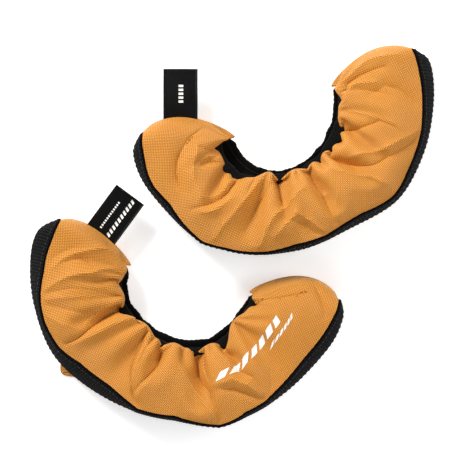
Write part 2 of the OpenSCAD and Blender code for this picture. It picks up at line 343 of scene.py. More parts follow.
def over_under(n, u, v, pitch):
    """1 where the threads along v lie on top in a plain weave, else 0."""
    cell = n.plus(*(n.math("FLOOR", n.math("DIVIDE", at, pitch)) for at in (u, v)))
    return n.math("ABSOLUTE", n.math("MODULO", cell, 2.0))


def woven(name, colour, deep):
    """Plain woven cloth. colour is the cloth's own colour with a painted highlight on the threads' crests,
    and deep is the darker colour between the threads, a painted shade.
    """
    n = Nodes(name)
    u, v = n.cut()
    c, s = math.cos(WEAVE_TURN), math.sin(WEAVE_TURN)
    u, v = n.plus(n.times(u, c), n.times(v, s)), n.math("SUBTRACT", n.times(v, c), n.times(u, s))
    wobble = n.times(n.math("SUBTRACT", n.noise(6.0), 0.5), WEAVE * 0.5)
    u, v = n.plus(u, wobble), n.plus(v, wobble)
    top = over_under(n, u, v, WEAVE)
    height = n.between(top, thread_wave(n, v, WEAVE), thread_wave(n, u, WEAVE))
    # Painted shade: the cloth is darkened between its threads.
    shade = n.scaled(height, WEAVE_SHADE, 1 - WEAVE_SHADE)
    # Painted highlight and shade: cells where the threads along u lie on top are painted lighter, and cells
    # where the threads along v lie on top are painted darker.
    shade = n.times(shade, n.scaled(top, -0.10, 1.05))
    shade = n.times(shade, n.uneven(18.0, 0.14, 0.93, 3.0))
    # The threads' crests take colour, lightened there as a painted highlight, and the gaps between them take
    # deep, a painted shade.
    face = n.tinted(n.between(n.math("POWER", height, 0.9), deep, colour), shade)
    return n.finish(face, n.uneven(3.0, 0.15, 0.43), height, rise=0.26, sheen=0.12, specular=0.4)


def pile(name, colour, tip, pitch, rise):
    """Looped or felted cloth: small soft lumps."""
    n = Nodes(name)
    lumps = n.noise(pitch, 3.0)
    face = n.tinted(n.between(lumps, colour, tip), n.uneven(12.0, 0.4, 0.8))
    return n.finish(face, 0.95, lumps, rise, sheen=0.06)


def knitted(name, colour, tip, pitch):
    """Stretch binding: fine ribs along u, with a knit's small loops on them."""
    n = Nodes(name)
    u, v = n.cut()
    ribs = thread_wave(n, v, pitch)
    loops = thread_wave(n, n.plus(u, n.times(v, 0.5)), pitch * 0.8)
    height = n.times(ribs, n.scaled(loops, 0.5, 0.5))
    face = n.tinted(n.between(height, colour, tip), n.uneven(8.0, 0.4, 0.8))
    return n.finish(face, 0.9, height, rise=0.15, sheen=0.04)


def ribbed(name, colour, tip, rib, thread):
    """Webbing: cross ribs of thick threads, with a painted highlight, a small light spot, where each thread
    tops a rib.
    """
    n = Nodes(name)
    u, v = n.cut()
    height = n.times(thread_wave(n, u, rib), thread_wave(n, v, thread))
    # Painted highlight: each thread's crest is lightened towards tip, more on some crests than on others.
    wear_and_glint = n.times(n.math("POWER", height, 5.0), n.uneven(5.0, 1.4, -0.1))
    return n.finish(n.between(wear_and_glint, colour, tip), 0.95, height, rise=0.35, specular=0.06)


def satin(name, colour, tip, pitch):
    """Smooth ribbon with very fine threads across it."""
    n = Nodes(name)
    u, v = n.cut()
    across = n.scaled(thread_wave(n, v, pitch * 2), 0.3, 0.7)
    height = n.times(thread_wave(n, u, pitch), across)
    face = n.tinted(n.between(height, colour, tip), n.uneven(9.0, 0.3, 0.85))
    return n.finish(face, n.uneven(5.0, 0.12, 0.36), height, rise=0.05, sheen=0.03)


def paint(name, colour, wear_and_glint):
    """A screen print that lets the weave show through."""
    n = Nodes(name)
    u, v = n.cut()
    height = n.times(thread_wave(n, u, WEAVE), thread_wave(n, v, WEAVE))
    speck = n.math("GREATER_THAN", n.noise(0.9, 4.0), 0.66)
    return n.finish(n.between(speck, colour, wear_and_glint), 0.55, height, rise=0.1)


def build_materials():
    return {
        # Orange cloth: its own colour on the threads' crests, lightened there as a painted highlight, and a
        # painted shade between the threads.
        "cloth": woven("orange_cloth", linear(243, 165, 58), linear(153, 63, 1)),
        # Black webbing; tip is the painted highlight on the threads' crests.
        "web": ribbed("black_webbing", linear(4, 4, 5), linear(58, 56, 53), RIB, 1.3),
        "terry": pile("black_terry", linear(5, 5, 6), linear(18, 18, 20), 1.1, 0.7),
        "pad": pile("absorbent_pad", linear(30, 30, 33), linear(58, 58, 62), 2.0, 0.5),
        "binding": knitted("black_binding", linear(3, 3, 3), linear(10, 10, 11), 0.9),
        "thread": satin("black_thread", linear(24, 24, 26), linear(52, 52, 56), 0.3),
        "seam": satin("orange_thread", linear(120, 62, 14), linear(200, 120, 44), 0.3),
        "ribbon": satin("black_satin", linear(4, 4, 4), linear(10, 10, 11), 0.35),
        "print": paint("white_print", linear(246, 243, 238), linear(236, 190, 130)),
    }


# ---------------------------------------------------------------- cloth
COLUMNS, ROWS = 221, 41  # points along a panel, and from the sole to the mouth
MIDDLE = COLUMNS // 2    # the column where a guard's pieces are cut in two, inside the mid body
OPENING = 0.62           # share of its curl that a panel keeps when it is laid out flat
UNDER = 1.3              # how far the binding reaches out under the cloth's edge
GATHER, GATHER_FADE = 0.36, 1.5      # extra length at the mouth, and how fast it fades to the sole
PUFF = 0.25              # extra depth of cloth just below the mouth, which puffs over the binding
STRETCH, SQUEEZE, SHEAR = 1.0, 0.9, 0.3      # share of a thread's error put right in a round
BEND = 0.02              # the same for its bending
STEPS, ROUNDS = (160), 6
PUSH, KEPT_SPEED = 0.02, 0.9         # pressure from inside, in mm a step, and speed kept from step to step
LOWEST, HIGHEST = -4.0, 5.5          # how far a point may leave the smooth surface, in mm
FLOOR_Z, UNDERSIDE = 0.4, 0.15       # lowest the cloth settles, and lowest its outside is after pressing
CLOTH_T, CLOTH_OUT = 0.6, 0.7        # the cloth's thickness, and its outside's rise off the settled sheet
SLACK = 1.01             # extra depth of cloth everywhere
PUFF_V, PUFF_WIDE = 0.88, 0.012      # where the puff is, from sole to mouth, and how wide
START_PUFF, START_V, START_SPAN = 2.8, 0.6, 0.4      # the puff in the starting shape: height, start and span
EDGE_V, EDGE_SPAN = 0.78, 0.22       # where the cloth starts to be drawn to the mouth's edge, and the span
TIP_FADE, EDGE_FADE = 1.2, 0.8       # stations from a tip over which the folds and the mouth's edge grow
TIP_GAP = 0.05           # half the gap between the two panels at the tips
ROLL_LOST = 0.85         # share of the hem's roll that is lost in a notch

# Share of the full gather at stations along the mouth.
GATHERED = {
    "left": ((0, 0), (0.8, 0.1), (2, 0.6), (3, 0.9), (5, 1), (7.5, 1), (8.5, 0.5), (10, 0.2), (11, 0)),
    "right": ((0, 0), (1, 0.15), (3, 0.5), (4, 0.9), (5, 1), (7, 1), (8.3, 0.5), (10, 0.2), (11, 0))}

# The cloth's edge at the mouth, as (station, how far it lies outside the mouth's line in mm),
# at the crest of each puff and the bottom of each notch between two puffs.
EDGES = {
    ("left", "front"): [
        (0, 0), (0.8, -1.8), (1.3, -0.5), (2.13, 3.4), (2.8, -0.2), (3.64, 8.0), (4.5, -2.4), (5.06, 1.6),
        (5.14, 1.3), (5.4, 5.0), (5.74, -0.2), (6.08, 2.0), (6.2, 1.8), (6.4, 6.6), (7.05, 0.7), (7.46, 6.8),
        (7.54, 6.0), (7.62, 6.6), (8.3, -2.4), (8.9, 0.8), (9.2, 1.4), (9.55, 5.4), (9.85, 2.6), (10.5, -0.8),
        (11, 0)],
    ("right", "front"): [
        (0, 0), (1.3, 13.0), (1.8, 11.2), (2.4, 13.4), (2.57, 12.4), (2.82, 13.8), (2.94, 10.9), (3.04, 10.9),
        (3.18, 7.8), (3.42, 6.0), (3.9, -1.2), (4.26, 2.4), (4.44, 6.0), (5.05, -1.0), (5.72, 3.6),
        (6.03, 1.8), (6.33, 5.8), (6.7, 1.8), (7.01, 5.0), (7.12, 4.2), (7.6, 7.4), (7.78, 5.4), (7.9, 5.5),
        (8.5, 0.7), (8.95, 0.3), (9.3, 2.8), (9.5, 1.6), (10.36, -2), (11, 0)],
    ("left", "back"): [
        (0, 0), (1.5, 3.5), (2.1, -0.5), (2.6, 4), (3.1, 0), (3.5, 5), (4.1, -1), (4.7, 5), (5.3, 0.5),
        (5.9, 4.5), (6.4, 0), (6.8, 5), (7.4, -1), (8.1, 4), (8.8, 0), (9.4, 3), (10.2, 0), (11, 0)],
    ("right", "back"): [
        (0, 0), (1.3, 3.5), (1.9, 0), (2.4, 4), (3.1, -0.5), (3.7, 5), (4.1, 0.5), (4.6, 4.5), (5.2, -1),
        (5.8, 5), (6.5, 0), (7.1, 5), (7.7, 0), (8.3, 4), (8.8, 0.5), (9.2, 3), (10.1, 0), (11, 0)]}
EDGE_HIGH, EDGE_LOW = 2.4, -1.2      # height of a puff's edge, and of a deep notch, off the mouth's line
NOTCH_SHARE = 0.85       # how much of a notch is left open by the pleat inside it
NOTCH = 6.0              # a notch this deep sinks all the way
# The hem past the edge, which rolls in under the puff: [towards the mouth, up] in mm.
HEM = ((0.35, -0.45), (0.25, -1.1), (-0.7, -1.7), (-2.2, -2.1))

# Folds of the cloth, each as its rise in mm, below 0 for a valley, its half width in mm, and then the station
# and v of each point of its line.
FOLDS = {
    ("left", "front"): [
        (-1.6, 2.5, 1.79, 0.24, 1.49, 0.43, 1.64, 0.63, 1.43, 0.78),
        (-1.5, 2.0, 2.04, 1, 1.94, 0.8, 2.09, 0.63),
        (1.7, 2.2, 2.61, 0.06, 2.2, 0.34, 1.97, 0.6, 1.54, 0.77, 1.12, 0.93),
        (-1.5, 3.0, 2.71, 0.05, 2.54, 0.4, 2.54, 0.82), (1.5, 3.0, 2.83, 0.04, 2.72, 0.84),
        (-2.0, 3.5, 2.95, 0.07, 3.22, 0.54, 3.07, 0.82), (1.7, 1.6, 3.57, 0.48, 3.34, 0.73, 3.0, 0.97),
        (1.0, 2.5, 3.14, 0.01, 3.69, 0.43), (-1.2, 4.0, 1.77, 0.08, 1.08, 0.33),
        (1.5, 2.5, 2.02, 0.11, 1.64, 0.23, 1.23, 0.4, 0.56, 0.65, 0.33, 0.84),
        (-5.5, 1.8, 3.57, 1, 3.59, 0.77, 3.7, 0.55, 3.78, 0.3, 3.81, 0.1),
        (2.0, 2.6, 4.07, 1, 3.9, 0.7, 3.86, 0.13), (-2.2, 1.3, 5.02, 1, 5.07, 0.79, 5.15, 0.6),
        (1.7, 1.8, 4.99, 0.78, 5.06, 0.54, 5.25, 0.17),
        (-2.6, 1.8, 4.93, 0.91, 4.94, 0.68, 5.04, 0.47, 5.27, 0.17, 5.5, 0),
        (-3.2, 1.6, 5.43, 1, 5.53, 0.73, 5.46, 0.56, 5.38, 0.37, 5.32, 0.17),
        (1.9, 2.2, 5.63, 1, 5.59, 0.69, 5.45, 0.33, 5.4, 0.13),
        (-3.8, 1.8, 6.38, 1, 6.47, 0.82, 6.51, 0.71, 6.77, 0.46, 6.82, 0.15, 6.8, 0),
        (1.6, 2.4, 5.95, 0.8, 6.31, 0.57, 6.53, 0.39, 6.69, 0.2, 6.76, 0.03),
        (1.6, 1.2, 6.71, 1, 6.61, 0.8, 6.71, 0.64), (-2.2, 1.2, 6.8, 1, 6.69, 0.8, 6.83, 0.6),
        (1.6, 1.5, 7.33, 1, 7.39, 0.76, 7.38, 0.6), (-2.8, 1.3, 7.55, 1, 7.54, 0.79, 7.51, 0.55),
        (-1.9, 1.9, 7.41, 0.59, 7.59, 0.51, 7.72, 0.38, 7.75, 0.2),
        (-2.2, 1.8, 6.99, 0.47, 7.24, 0.37, 7.42, 0.24, 7.72, 0),
        (2.0, 2.5, 6.89, 0.54, 7.32, 0.49, 7.56, 0.32, 7.68, 0.11), (-1.0, 4.0, 8.16, 0.3, 7.9, 0.05),
        (-2.2, 2.6, 10.84, 0.3, 10.45, 0.25, 10.14, 0.18, 9.73, 0.09),
        (1.3, 2.5, 10.17, 0.91, 10.45, 0.7, 10.62, 0.48, 10.5, 0.38)],
    ("right", "front"): [
        (-4.4, 4.5, 1.18, 0.56, 1.51, 0.47, 2.14, 0.33, 2.38, 0.27),
        (1.8, 3.0, 1.2, 0.71, 1.53, 0.68, 1.98, 0.58, 2.35, 0.48, 2.7, 0.43),
        (-1.3, 1.5, 1.38, 1, 1.4, 0.82, 1.23, 0.67), (-2.4, 1.8, 2.12, 1, 1.93, 0.83, 1.99, 0.67),
        (1.7, 1.8, 1.82, 1, 1.68, 0.86, 1.79, 0.73, 2.02, 0.63),
        (-4.2, 2.0, 2.95, 1, 3.11, 0.74, 3.09, 0.61, 2.96, 0.47, 2.8, 0.23),
        (1.8, 2.0, 2.85, 1, 2.97, 0.73, 2.89, 0.58, 2.74, 0.44),
        (1.6, 2.4, 3.33, 0.68, 3.14, 0.4, 2.98, 0.29), (-2.2, 1.4, 3.5, 1, 3.57, 0.74),
        (2.4, 2.2, 3.95, 1, 3.73, 0.88, 3.6, 0.6, 3.52, 0.28, 3.54, 0.05),
        (-2.4, 3.2, 4.19, 0.87, 4.0, 0.65, 3.98, 0.29), (-1.5, 2.5, 2.38, 0.87, 2.64, 0.59),
        (-4.2, 1.3, 4.4, 1, 4.46, 0.9, 4.53, 0.81, 4.65, 0.67, 4.72, 0.58),
        (1.8, 1.3, 5.61, 1, 5.68, 0.7, 5.76, 0.59, 5.97, 0.56), (-3.2, 1.6, 5.72, 1, 5.78, 0.75, 5.9, 0.65),
        (2.2, 2.4, 5.33, 0.74, 4.72, 0.57, 4.52, 0.47, 4.42, 0.31, 4.35, 0.07),
        (2.0, 2.2, 4.61, 0.2, 4.8, 0.34, 5.07, 0.44, 5.38, 0.26, 5.65, 0),
        (-1.8, 2.5, 4.94, 0.37, 5.19, 0.26, 5.49, 0.01), (-2.6, 2.4, 5.81, 0.55, 5.83, 0.1),
        (1.4, 3.0, 6.23, 0.48, 6.02, 0.34, 5.91, 0.15),
        (-2.6, 2.2, 9.65, 0.94, 10.04, 0.87, 10.11, 0.73, 10.02, 0.4),
        (1.5, 2.2, 9.56, 0.9, 9.8, 0.8, 9.59, 0.55), (1.5, 2.6, 10.37, 0.92, 10.56, 0.53, 10.3, 0.17),
        (-2.4, 4.5, 9.22, 0.65, 9.42, 0.45, 9.27, 0.29, 8.89, 0.09),
        (-1.8, 3.5, 9.5, 0.76, 9.3, 0.57, 9.1, 0.38),
        (-3.2, 2.0, 7.75, 1, 7.97, 0.88, 8.17, 0.76, 8.45, 0.53, 8.34, 0.33),
        (1.7, 3.0, 8.8, 0.96, 8.57, 0.65, 8.34, 0.25), (-1.3, 1.0, 7.58, 1, 7.93, 0.8),
        (2.2, 2.2, 7.08, 0.8, 7.25, 0.71, 7.54, 0.55, 7.81, 0.37, 8.1, 0.22, 8.35, 0.03),
        (-3.8, 2.4, 6.81, 1, 6.83, 0.87, 6.99, 0.72, 7.31, 0.45, 7.62, 0.33, 8.25, 0),
        (2.0, 2.2, 6.47, 0.79, 7.04, 0.41, 7.14, 0.05)],
    ("left", "back"): [
        (-3.5, 2.4, 4.7, 1, 4.6, 0.6, 4.2, 0.2), (2.0, 3.0, 5.2, 0.9, 5.3, 0.2),
        (-2.5, 2.4, 5.9, 1, 5.8, 0.6, 6.1, 0.1), (-3.5, 2.4, 6.8, 1, 6.9, 0.6, 7.4, 0.2)],
    ("right", "back"): [
        (-3.5, 2.4, 3.7, 1, 3.6, 0.6, 3.2, 0.2), (2.0, 3.0, 4.3, 0.9, 4.2, 0.2),
        (-2.5, 2.4, 5.8, 1, 5.7, 0.6, 6.0, 0.1), (-3.5, 2.4, 7.1, 1, 7.2, 0.6, 7.7, 0.2)]}
# A tuck of cloth that peeks out beside the sole: its station, half width in stations, v, and reach in mm.
PEEK_PANEL, PEEK = ("left", "back"), (4.25, 0.16, 0.04, 7.0)
PRESSED = 1.2            # share of its rise that a fold keeps as a pressed, sharp line
HOLD_SOLE, HOLD_MOUTH, HOLD_TIP = 0.08, 0.12, 0.3    # v and stations over which the pressing fades out
# Seams down the front panels, from the mouth to the rounded end.
SEAM_LINES = {"left": [(9.51, 0.97), (9.81, 0.86), (10.12, 0.56), (10.33, 0.37)],
              "right": [(0.24, 0.69), (0.53, 0.68), (1.14, 0.56)]}
SEAM_DEEP, SEAM_WIDE = 1.4, 1.0      # depth and half width of their groove
NOTCH_CREASE = (0.55, 0.74, 1.9)     # a notch's crease: depth as a share of the notch, its last v, half width


def stations():
    """The stations of a panel's columns, closer together at the tips."""
    t = np.linspace(0, 1, COLUMNS)
    return LAST * (0.75 * t + 0.25 * (0.5 - 0.5 * np.cos(np.pi * t)))


XS, VS = stations(), np.linspace(0, 1, ROWS)


def smooth_panel(side, face):
    """The panel without folds, as a grid of points: [column][row]."""
    plan = Plan(side, XS)
    section = plan.front if face == "front" else plan.back
    grid = np.stack([plan.place(*section(v)) for v in VS], 1)
    grid[[0, -1], :, 2] = SEAM_Z + (TIP_GAP if face == "front" else -TIP_GAP)
    return plan, grid


def edge_lean(side, face):
    """How far the cloth's edge lies outside the mouth's line: round puffs and sharp notches."""
    x, lean = np.array(EDGES[side, face]).T
    i = np.clip(np.searchsorted(x, XS, side="right") - 1, 0, len(x) - 2)
    t = (XS - x[i]) / (x[i + 1] - x[i])
    deeper = lean[i + 1] > lean[i]
    t = np.where(deeper, 1 - np.cos(np.pi / 2 * t), np.sin(np.pi / 2 * t))
    edge = lean[i] + (lean[i + 1] - lean[i]) * t
    edge[1:-1] = edge[:-2] / 4 + edge[1:-1] / 2 + edge[2:] / 4
    return NOTCH_SHARE * edge


def sewn_edge(side, face, plan):
    """The rows of points at the cloth's edge: the edge itself, and the hem that rolls in under it."""
    lean = edge_lean(side, face)
    _, z = plan.front(1) if face == "front" else plan.back(1)
    up = 1 if face == "front" else -1
    to_end = np.clip(to_tip(XS) / EDGE_FADE, 0, 1)
    # The right guard's mouth leans back at its heel, which is no notch.
    lean_back = plan.mouth_lean * 0.8 if (side, face) == ("right", "front") else 0
    sunk = np.clip((lean - lean_back) / NOTCH, 0, 1)
    rise = (EDGE_HIGH + (EDGE_LOW - EDGE_HIGH) * sunk) * to_end
    roll = to_end * (1 - ROLL_LOST * sunk)
    return np.stack([plan.place(plan.reach - lean * to_end + toward * roll, z + up * (rise + lift * roll))
                     for toward, lift in ((0, 0),) + HEM], 1)


def normals(grid):
    """The unit normal at each point of a grid."""
    return unit(np.cross(np.gradient(grid, axis=1), np.gradient(grid, axis=0)))


def outward(grid, face):
    """+1 or -1: the sign that turns the grid's normals away from the inside of the pouch."""
    up = normals(grid)[len(grid) // 2, grid.shape[1] // 2, 2]
    return math.copysign(1, up if face == "front" else -up)


def turned(v, angle):
    """Flat vectors, each turned by its own angle."""
    c, s = np.cos(angle), np.sin(angle)
    return np.column_stack([v[:, 0] * c - v[:, 1] * s, v[:, 0] * s + v[:, 1] * c])


def flat_cut(plan, grid):
    """The panel laid out flat: each section turned back by a share of the curl."""
    ray = np.unwrap(np.arctan2(plan.inward[:, 1], plan.inward[:, 0]))
    turn = (ray - ray[MIDDLE]) * (OPENING - 1)
    base = grid[:, 0, :2]
    step = np.diff(base, axis=0)
    length = np.linalg.norm(np.diff(grid[:, 0], axis=0), axis=1) / np.linalg.norm(step, axis=1)
    step = turned(step * length[:, None], (turn[1:] + turn[:-1]) / 2)
    flat_base = np.vstack([[0, 0], np.cumsum(step, axis=0)])
    rise = np.linalg.norm(np.diff(grid, axis=1), axis=2)
    rise = np.column_stack([np.zeros(len(grid)), np.cumsum(rise, axis=1)])
    cut = np.zeros(grid.shape[:2] + (2,))
    for j in range(grid.shape[1]):
        off = grid[:, j, :2] - base
        scale = rise[:, j] / np.maximum(np.linalg.norm(off, axis=1), 1e-6)
        cut[:, j] = flat_base + turned(off * scale[:, None], turn)
    return cut


def between_points(grid, i, j):
    """The grid's value at column i and row j, which need not be whole."""
    i0, j0 = min(int(i), len(grid) - 2), min(int(j), grid.shape[1] - 2)
    a, b = i - i0, j - j0
    return (grid[i0, j0] * (1 - a) * (1 - b) + grid[i0 + 1, j0] * a * (1 - b)
            + grid[i0, j0 + 1] * (1 - a) * b + grid[i0 + 1, j0 + 1] * a * b)


def fold_line(grid, path, count=5):
    """Points on the panel along a line given as (station, v)."""
    dense = [np.add(np.multiply(a, 1 - t), np.multiply(b, t))
             for a, b in zip(path[:-1], path[1:]) for t in np.linspace(0, 1, count)]
    columns, rows = grid.shape[:2]
    column = np.linspace(0, columns - 1, COLUMNS)
    return np.array([between_points(grid, np.interp(x, XS, column), v * (rows - 1)) for x, v in dense])


def to_line(grid, line):
    """Each point's distance from a line, and where along the line it is nearest, 0 to 1."""
    gap, along = np.full(grid.shape[:2], np.inf), np.zeros(grid.shape[:2])
    for k, (a, b) in enumerate(zip(line[:-1], line[1:])):
        t = np.clip((grid - a) @ (b - a) / max((b - a) @ (b - a), 1e-9), 0, 1)
        far = np.linalg.norm(grid - a - t[..., None] * (b - a), axis=2)
        along = np.where(far < gap, (k + t) / (len(line) - 1), along)
        gap = np.minimum(far, gap)
    return gap, along


def fold_height(grid, folds, sharp=1.3):
    """How far the folds lift each point of the panel. sharp is 1 for a pressed crease, 2 for a round one."""
    height = np.zeros(grid.shape[:2])
    for rise, width, *path in folds:
        path = np.reshape(path, (-1, 2))
        gap, along = to_line(grid, fold_line(grid, path))
        fade = 1 - 0.7 * along ** 1.5 if path[0][1] == 1 else np.sin(np.pi * (0.12 + 0.76 * along)) ** 0.7
        height += rise * fade * np.exp(-(gap / width) ** sharp)
    return height


def threads(smooth, gather, slack):
    """Pairs of neighbours on the cloth with the length that it was cut to between them."""
    pairs = []
    columns, rows = smooth.shape[:2]

    def add(a, b, kind, stretch, squeeze):
        along = (gather[a] + gather[b]) / 2
        down = (slack[a] + slack[b]) / 2
        share = {"along": along, "down": down, "across": (along + down) / 2}[kind]
        rest = np.linalg.norm(smooth[b] - smooth[a], axis=2) * share
        pairs.append((a, b, rest, stretch, squeeze))

    every, first, second = slice(None), slice(0, -1), slice(1, None)
    for p in (0, 1):
        n, m = (columns - p) // 2 * 2, (rows - p) // 2 * 2
        here, ahead = slice(p, p + n, 2), slice(p + 1, p + n, 2)
        add((here, every), (ahead, every), "along", STRETCH, SQUEEZE)
        add((every, slice(p, p + m, 2)), (every, slice(p + 1, p + m, 2)), "down", STRETCH, SQUEEZE)
        add((here, first), (ahead, second), "across", STRETCH / 2, SHEAR)
        add((here, second), (ahead, first), "across", STRETCH / 2, SHEAR)
    return pairs


def settled(start, smooth, pairs, sign):
    """Cloth let go from start. It keeps its threads' lengths, and its rim stays sewn."""
    p, last = start.copy(), start.copy()
    free = np.ones(p.shape[:2] + (1,))
    free[0], free[-1], free[:, 0], free[:, -1] = 0, 0, 0, 0
    out = normals(smooth) * sign
    for step in range(STEPS):
        move = (p - last) * KEPT_SPEED + normals(p) * sign * PUSH * (1 - step / STEPS)
        last = p.copy()
        p += move * free
        for _ in range(ROUNDS):
            for a, b, rest, stretch, squeeze in pairs:
                gap = p[b] - p[a]
                size = np.maximum(np.linalg.norm(gap, axis=2), 1e-9)
                pull = np.where(size > rest, stretch, squeeze) * (size - rest) / size
                share = pull[..., None] * gap / np.maximum(free[a] + free[b], 1e-9)
                p[a] += free[a] * share
                p[b] -= free[b] * share
            for axis in (0, 1):
                q = np.moveaxis(p, axis, 0)
                curl, stiff = np.zeros_like(q), np.zeros_like(q)
                curl[1:-1] = q[:-2] - 2 * q[1:-1] + q[2:]
                stiff[1:-1] = curl[:-2] - 2 * curl[1:-1] + curl[2:]
                p -= BEND * np.moveaxis(stiff, 0, axis) * free
        lift = ((p - smooth) * out).sum(axis=2, keepdims=True)
        p += out * (np.clip(lift, LOWEST, HIGHEST) - lift) * free
        p[:, :, 2] = np.maximum(p[:, :, 2], FLOOR_Z)
    return p


def notch_creases(side, face):
    """A short crease in the cloth at each notch of the edge."""
    share, stop, width = NOTCH_CREASE
    edge = EDGES[side, face]
    for (_, a), (x, lean), (_, b) in zip(edge, edge[1:], edge[2:]):
        if lean > a and lean > b:
            deep = share * min(lean - a, lean - b, NOTCH)
            yield -deep, width, x, 1, x, stop


def sewn_panel(side, face):
    """A gathered panel: its settled cloth, the smooth surface, its cut in mm, and its outward sign."""
    plan, smooth = smooth_panel(side, face)
    sign = outward(smooth, face)
    edge = sewn_edge(side, face, plan)
    pulled = np.clip((VS - EDGE_V) / EDGE_SPAN, 0, 1)[None, :, None] ** 2
    base = smooth + (edge[:, :1] - smooth[:, -1:]) * pulled
    share = np.interp(XS, *zip(*GATHERED[side]))[:, None]
    gather = 1 + GATHER * share * VS ** GATHER_FADE
    slack = SLACK + PUFF * np.minimum(1, share * 2) * np.exp(-(VS - PUFF_V) ** 2 / PUFF_WIDE)
    near = np.clip(to_tip(XS) / TIP_FADE - 0.1, 0, 1)[:, None] ** 1.5 * np.sin(np.pi * np.minimum(VS, 0.5))
    folds = fold_height(smooth, FOLDS[side, face] + list(notch_creases(side, face)))
    puff = START_PUFF * np.sin(np.pi * np.clip((VS - START_V) / START_SPAN, 0, 1))
    start = base + normals(smooth) * (sign * (puff * np.exp(-np.abs(folds)) + folds) * near)[..., None]
    start[:, -1], start[:, 0] = edge[:, 0], smooth[:, 0]
    cloth = settled(start, smooth, threads(smooth, gather, slack), sign)
    cut = flat_cut(plan, smooth)
    hem = cut[:, -1:] + (cut[:, -1:] - cut[:, -2:-1]) * np.arange(1, len(HEM) + 1)[None, :, None]
    cloth = finer(np.concatenate([cloth, edge[:, 1:]], 1))
    cut = finer(np.concatenate([cut, hem], 1))
    smooth = finer(smooth)
    cloth[:, :FINE_ROWS] += pressed(side, face, smooth) * (normals(smooth) * sign)
    if (side, face) == PEEK_PANEL:
        cloth[:, :FINE_ROWS, :2] -= peek(side)
    return {"cloth": cloth, "smooth": smooth, "cut": cut, "sign": sign}


def pressed(side, face, smooth):
    """The sharp lines of the folds and the seams, on the finer panel."""
    height = PRESSED * fold_height(smooth, FOLDS[side, face], 1.0)
    if face == "front":
        height += fold_height(smooth, [(-SEAM_DEEP, SEAM_WIDE, *np.ravel(SEAM_LINES[side]))], 1.0)
    v = np.linspace(0, 1, FINE_ROWS)
    hold = np.minimum(1, v / HOLD_SOLE) * np.minimum(1, (1 - v) / HOLD_MOUTH)
    return (height * hold * np.minimum(1, to_tip(FINE_XS) / HOLD_TIP)[:, None])[..., None]


def peek(side):
    """How far a loose tuck of the back panel comes out past the sole, at each point."""
    station, wide, row, far = PEEK
    across = Plan(side, FINE_XS).inward * (far * np.exp(-((FINE_XS - station) / wide) ** 2))[:, None]
    v = np.linspace(0, 1, FINE_ROWS) / row
    return across[:, None] * (v * np.exp(1 - v))[None, :, None]


def finer(grid):
    """The grid with a point between each two neighbours, on a smooth curve through them."""
    for axis in range(min(2, grid.ndim)):
        p = np.moveaxis(grid, axis, 0)
        q = np.concatenate([2 * p[:1] - p[1:2], p, 2 * p[-1:] - p[-2:-1]])
        twice = np.empty((2 * len(p) - 1,) + p.shape[1:])
        twice[::2], twice[1::2] = p, (9 * (p[:-1] + p[1:]) - q[:-3] - q[3:]) / 16
        grid = np.moveaxis(twice, 0, axis)
    return grid


FINE_XS, FINE_ROWS = finer(XS), 2 * ROWS - 1


# ---------------------------------------------------------------- meshes
def new_piece(name, points, faces, material, cut, shading=None):
    """A mesh piece from points in mm. cut is each point's place on the flat cloth, in mm."""
    mesh = bpy.data.meshes.new(name)
    mesh.from_pydata((np.asarray(points) * MM).tolist(), [], faces)
    mesh.materials.append(material)
    mesh.shade_smooth()
    layer = mesh.uv_layers.new(name="cut")
    corner = np.zeros(len(mesh.loops), np.int32)
    mesh.loops.foreach_get("vertex_index", corner)
    layer.data.foreach_set("uv", (np.asarray(cut)[corner] * MM).astype(np.float32).ravel())
    if shading is not None:
        mesh.normals_split_custom_set_from_vertices(np.asarray(shading).tolist())
    piece = bpy.data.objects.new(name, mesh)
    bpy.context.scene.collection.objects.link(piece)
    return piece


def grid_faces(columns, rows, first=0, flip=False, wrap=False):
    """The quads of a grid of points, [column][row]. wrap joins the last row to the first."""
    faces = []
    for i in range(columns - 1):
        for j in range(rows if wrap else rows - 1):
            k = (j + 1) % rows
            quad = [first + i * rows + j, first + (i + 1) * rows + j,
                    first + (i + 1) * rows + k, first + i * rows + k]
            faces.append(quad[::-1] if flip else quad)
    return faces


def facing(outer, inner):
    """+1 where the outer grid's own normals point away from the inner one, else -1."""
    return math.copysign(1, ((outer - inner) * normals(outer)).sum())


def closed_piece(name, sheets, material, shading=None):
    """A mesh of closed sheets, each given as its outer and inner grids of points and its cut."""
    points, faces, flat = [], [], []
    for outer, inner, cut in sheets:
        columns, rows = outer.shape[:2]
        n, first = columns * rows, sum(len(p) for p in points)
        flip = facing(outer, inner) < 0
        faces += grid_faces(columns, rows, first, not flip) + grid_faces(columns, rows, first + n, flip)
        rim = ([i * rows for i in range(columns)] + [(columns - 1) * rows + j for j in range(1, rows)]
               + [i * rows + rows - 1 for i in range(columns - 2, -1, -1)] + list(range(rows - 2, 0, -1)))
        for a, b in zip(rim, rim[1:] + rim[:1]):
            a, b = a + first, b + first
            faces.append([a, b, b + n, a + n] if flip else [b, a, a + n, b + n])
        points += [outer.reshape(-1, 3), inner.reshape(-1, 3)]
        flat += [cut.reshape(-1, 2)] * 2
    return new_piece(name, np.concatenate(points), faces, material, np.concatenate(flat), shading)


def laid_out(along, across):
    """The cut of a straight strip, from its points' distances along and across it."""
    return np.stack(np.meshgrid(along, across, indexing="ij"), 2)


ENDS = ("heel", "toe")


def half(grid, end):
    """The columns of a fine grid that belong to the heel half or the toe half."""
    return grid[:2 * MIDDLE + 1] if end == "heel" else grid[2 * MIDDLE:]


